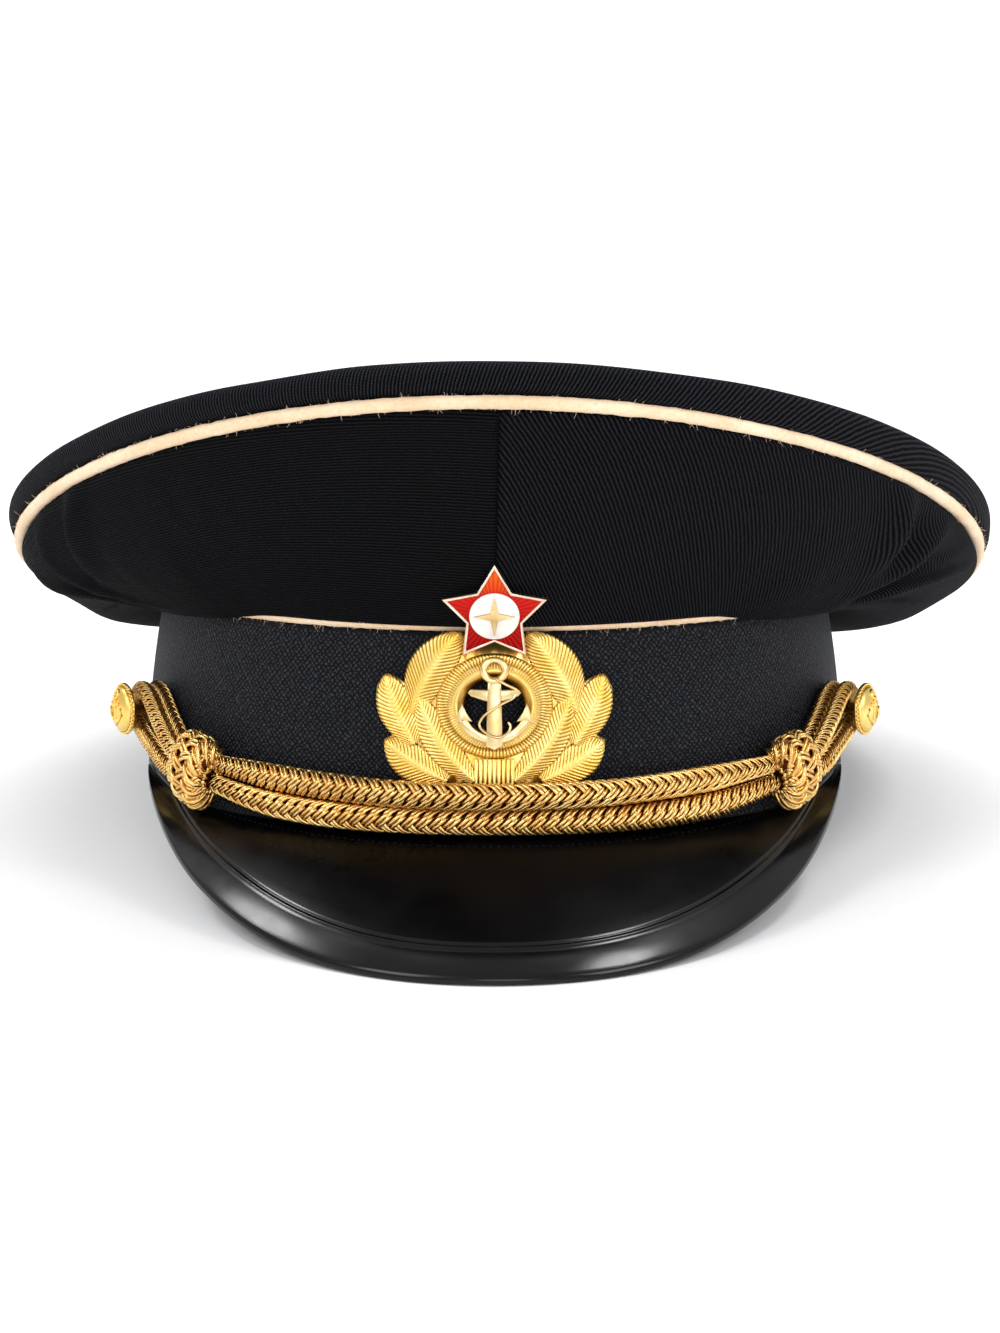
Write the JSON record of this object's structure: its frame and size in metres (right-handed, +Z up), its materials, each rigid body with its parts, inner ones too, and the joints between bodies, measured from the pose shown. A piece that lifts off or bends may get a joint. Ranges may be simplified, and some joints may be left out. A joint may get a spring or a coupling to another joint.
{
  "type": "naval officer cap",
  "caption": "Peaked cap with a wide tilted crown, piped seams, a ribbed band, a glossy visor, a twisted gold chin cord and a star and anchor badge.",
  "frame": {"origin": "middle of the box's base, on the surface that the cap rests on", "axes": "+Z up, the front and the visor towards -Y, +X to the wearer's left"},
  "size_m": [0.253, 0.3006, 0.1374],
  "materials": {
    "crown_twill": "black wool twill with a fine diagonal rib",
    "band_ribbon": "black ribbed band woven in small diamonds",
    "piping_felt": "cream felt piping with a soft nap",
    "visor_lacquer": "black gloss lacquer with a satin bevelled rim",
    "gold_cord": "braided antique gold wire",
    "gilt_brass": "satin gilt brass stamping",
    "pale_gilt": "pale polished gilt",
    "red_enamel": "translucent red enamel over ribbed metal",
    "white_enamel": "white enamel"
  },
  "bodies": {
    "root": {"band": "band_ribbon", "band_piping": "piping_felt", "crown_piping": "piping_felt", "crown_top": "crown_twill", "crown_side_left": "crown_twill", "crown_side_right": "crown_twill", "visor": "visor_lacquer", "chin_cord": "gold_cord", "end_loop_left": "gold_cord", "end_loop_right": "gold_cord", "knot_left": "gold_cord", "knot_right": "gold_cord", "button_left": "gilt_brass", "button_right": "gilt_brass", "badge_wreath": "gilt_brass", "badge_anchor": "pale_gilt", "badge_star": "pale_gilt", "badge_enamel": "red_enamel", "badge_disc": "white_enamel", "badge_rose": "pale_gilt"}
  },
  "joints": []
}
